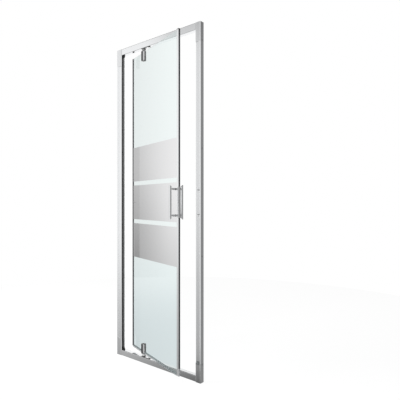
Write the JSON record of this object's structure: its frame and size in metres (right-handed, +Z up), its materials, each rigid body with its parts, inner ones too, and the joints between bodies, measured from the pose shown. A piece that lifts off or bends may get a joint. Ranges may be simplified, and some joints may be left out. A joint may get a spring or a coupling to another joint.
{
  "type": "pivot shower door",
  "caption": "Framed pivot shower door: clear glass with mirror bands, inset round pivots, bar handles on both sides and a polished frame; it opens outwards.",
  "frame": {"origin": "underside of the threshold rail, midway between the two wall faces and midway in the frame's depth", "axes": "+X along the frame from the hinge side to the closing side as seen from outside, +Y from the outside to the inside of the shower, +Z up"},
  "size_m": [0.7, 0.198, 1.95],
  "materials": {
    "polished_aluminium": "polished",
    "chromed_metal": "polished",
    "satin_aluminium": "satin",
    "stainless_steel": "satin",
    "socket_steel": "satin",
    "clear_plastic": "clear",
    "black_plastic": "matt",
    "white_plastic": "matt",
    "grey_plastic": "matt",
    "magnet_strip": "matt",
    "glass": "polished",
    "mirror_film": "polished",
    "dark_rubber": "matt",
    "seal_plastic": "translucent"
  },
  "bodies": {
    "frame": {"wall_channel_left": "polished_aluminium", "wall_channel_right": "polished_aluminium", "jamb_left": "polished_aluminium", "jamb_right": "polished_aluminium", "top_rail": "polished_aluminium", "bottom_rail": "polished_aluminium", "corner_block_top_left": "chromed_metal", "corner_block_top_right": "chromed_metal", "corner_block_bottom_left": "chromed_metal", "corner_block_bottom_right": "chromed_metal", "corner_screws": "stainless_steel", "jamb_screws": "stainless_steel", "corner_block_screws": "stainless_steel", "gap_seal": "clear_plastic", "gap_seal_block_top": "black_plastic", "gap_seal_block_bottom": "black_plastic", "strike_magnet": "magnet_strip", "pivot_socket_top": "socket_steel", "pivot_socket_bottom": "socket_steel", "pivot_bush_top": "white_plastic", "pivot_bush_bottom": "white_plastic", "thrust_washer": "white_plastic", "socket_screws": "stainless_steel"},
    "door": {"glass_panel": "glass", "mirror_band_top": "mirror_film", "mirror_band_middle": "mirror_film", "mirror_band_bottom": "mirror_film", "edge_profile": "polished_aluminium", "edge_gasket": "dark_rubber", "door_magnet": "magnet_strip", "edge_cap_top": "black_plastic", "edge_cap_bottom": "grey_plastic", "hinge_edge_seal": "dark_rubber", "drip_seal_long": "seal_plastic", "drip_seal_short": "seal_plastic", "clamp_front_top": "chromed_metal", "clamp_back_top": "chromed_metal", "clamp_front_bottom": "chromed_metal", "clamp_back_bottom": "chromed_metal", "clamp_gaskets": "dark_rubber", "clamp_screws": "stainless_steel", "pivot_pin_top": "stainless_steel", "pivot_pin_bottom": "stainless_steel", "handle_outer": "chromed_metal", "handle_inner": "chromed_metal", "handle_studs": "stainless_steel", "glass_sleeves": "white_plastic", "handle_washers": "dark_rubber", "handle_grub_screws": "stainless_steel", "handle_saddle": "satin_aluminium"}
  },
  "joints": [
    {"name": "door_pivot", "type": "hinge", "parent": "frame", "child": "door", "pos_m": [-0.11, 0, 0.975], "axis": [0, 0, -1], "range_deg": [-16.4, 73.6]}
  ]
}
